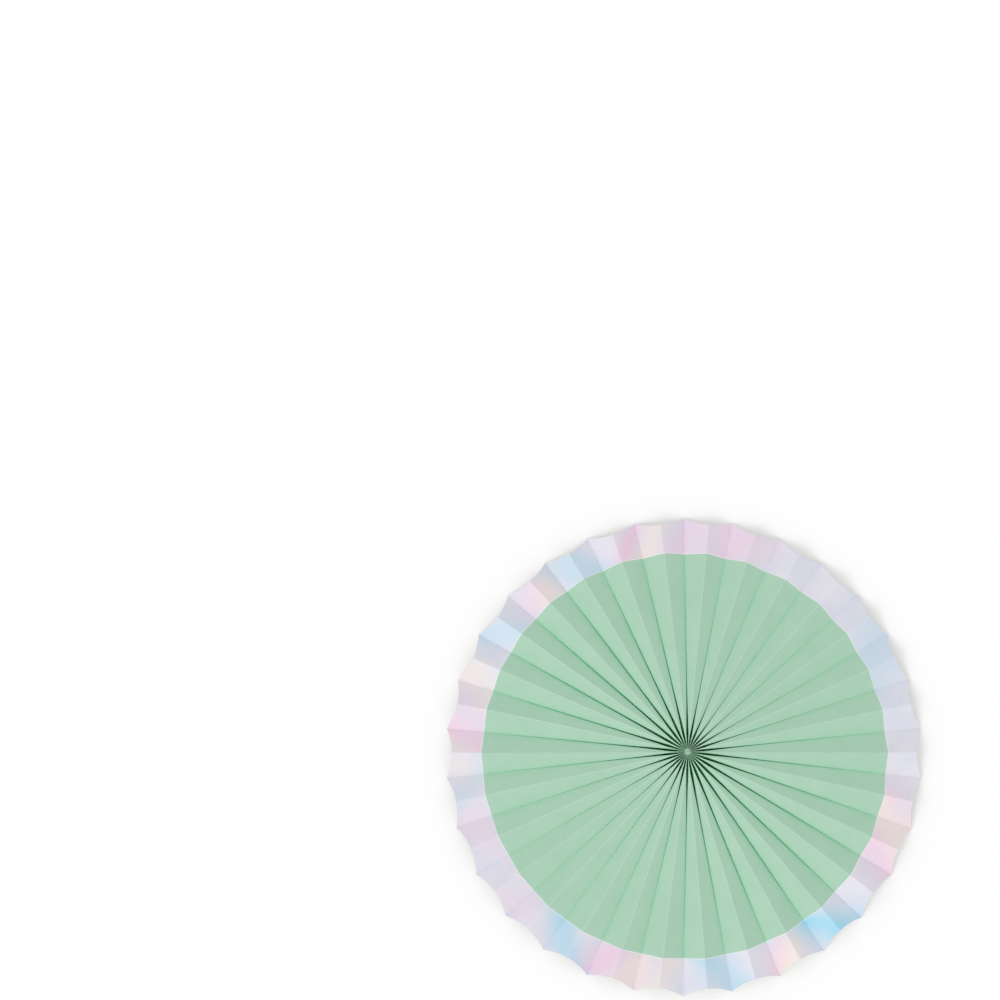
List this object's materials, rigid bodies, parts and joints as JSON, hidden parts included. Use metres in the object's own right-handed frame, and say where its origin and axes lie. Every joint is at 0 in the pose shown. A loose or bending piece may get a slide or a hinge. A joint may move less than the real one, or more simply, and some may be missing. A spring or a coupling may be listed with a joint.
{
  "type": "paper fan rosette",
  "caption": "Round wall decoration of accordion-pleated paper, gathered at the middle into a full circle, with a plain centre, a pearly border and a scalloped rim.",
  "frame": {"origin": "On the plane of the valley folds, at the middle of the outline.", "axes": "+Z out of the printed face, +X along one seam and -X along the other."},
  "size_m": [0.3032, 0.3048, 0.0203],
  "materials": {
    "printed_paper": "matte mint-green face with a pearly pastel border, white back",
    "thread": "plain white twisted cotton",
    "tape": "translucent white adhesive film"
  },
  "bodies": {
    "root": {"upper_half_fan": "printed_paper", "lower_half_fan": "printed_paper", "gather_thread": "thread", "right_seam_tape": "tape", "left_seam_tape": "tape"}
  },
  "joints": []
}
